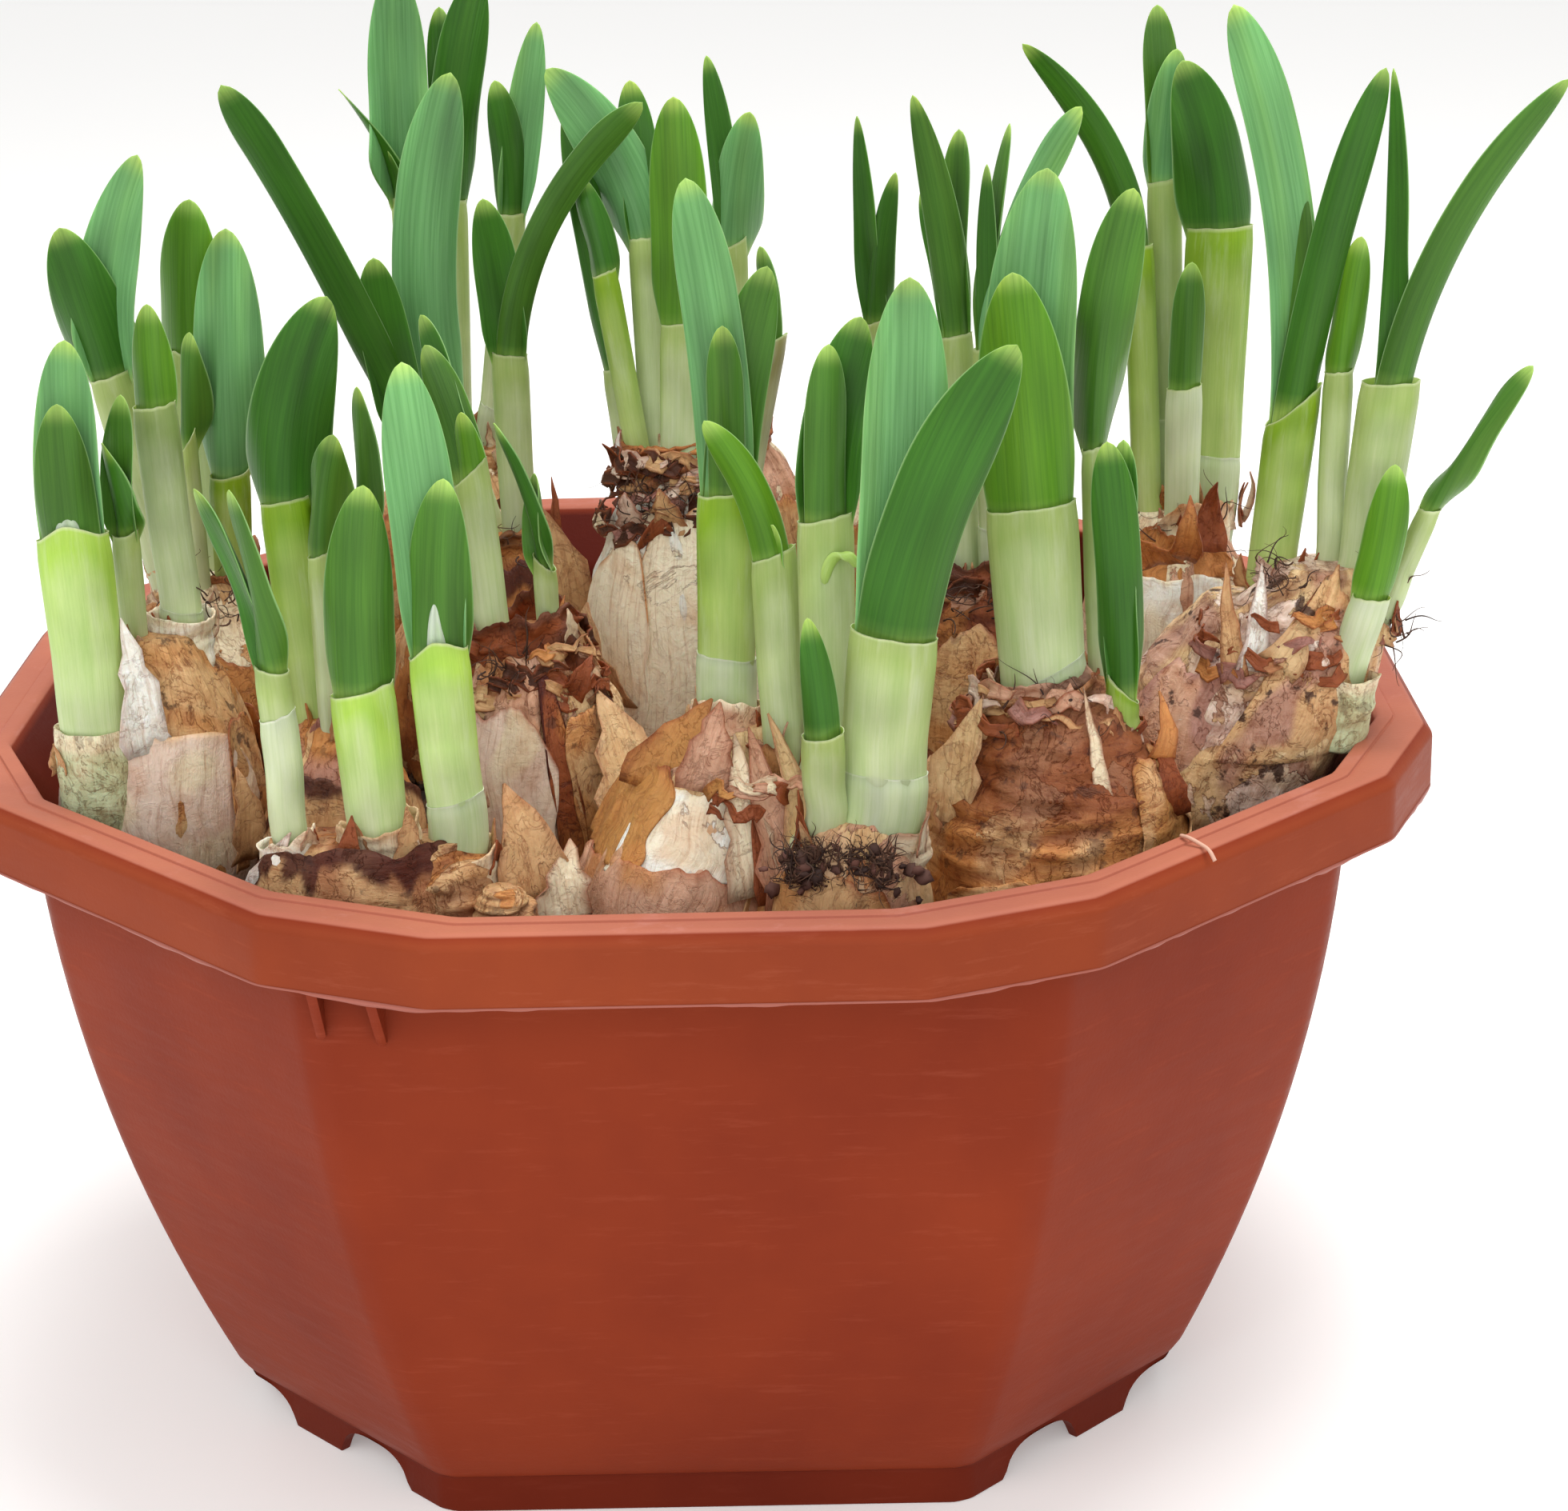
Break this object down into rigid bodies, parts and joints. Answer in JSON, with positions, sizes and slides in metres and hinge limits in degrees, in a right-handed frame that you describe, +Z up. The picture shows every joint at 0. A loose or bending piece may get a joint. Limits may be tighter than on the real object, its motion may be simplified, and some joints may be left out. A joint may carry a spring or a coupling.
{
  "type": "potted tete-a-tete daffodil bulbs",
  "caption": "Eight-sided plastic bowl packed with sprouting dwarf daffodil bulbs, pale sheaths and blue-green strap leaves standing above the rim.",
  "frame": {"origin": "centre of the pot's underside, on the surface that it stands on", "axes": "+Z up, +X to the right and +Y away from the pictured side, square to the pot's four wide facets"},
  "size_m": [0.2665, 0.25, 0.2383],
  "materials": {
    "terracotta_plastic": "satin",
    "compost": "matte",
    "bulb_skin": "satin",
    "sheath": "satin",
    "leaf": "satin"
  },
  "bodies": {
    "root": {"pot": "terracotta_plastic", "compost": "compost", "bulb_left": "bulb_skin", "sheaths_left": "sheath", "leaves_left": "leaf", "bulb_left_rear": "bulb_skin", "sheaths_left_rear": "sheath", "leaves_left_rear": "leaf", "bulb_left_inner": "bulb_skin", "sheaths_left_inner": "sheath", "leaves_left_inner": "leaf", "bulb_front_left": "bulb_skin", "sheaths_front_left": "sheath", "leaves_front_left": "leaf", "bulb_centre_left": "bulb_skin", "sheaths_centre_left": "sheath", "leaves_centre_left": "leaf", "bulb_front": "bulb_skin", "sheaths_front": "sheath", "leaves_front": "leaf", "bulb_front_right": "bulb_skin", "sheaths_front_right": "sheath", "leaves_front_right": "leaf", "bulb_centre": "bulb_skin", "sheaths_centre": "sheath", "leaves_centre": "leaf", "bulb_rear_left_inner": "bulb_skin", "sheaths_rear_left_inner": "sheath", "leaves_rear_left_inner": "leaf", "bulb_rear_left": "bulb_skin", "sheaths_rear_left": "sheath", "leaves_rear_left": "leaf", "bulb_rear": "bulb_skin", "sheaths_rear": "sheath", "leaves_rear": "leaf", "bulb_centre_right": "bulb_skin", "sheaths_centre_right": "sheath", "leaves_centre_right": "leaf", "bulb_rear_right": "bulb_skin", "sheaths_rear_right": "sheath", "leaves_rear_right": "leaf", "bulb_right_rear": "bulb_skin", "sheaths_right_rear": "sheath", "leaves_right_rear": "leaf", "bulb_right": "bulb_skin", "sheaths_right": "sheath", "leaves_right": "leaf"}
  },
  "joints": []
}
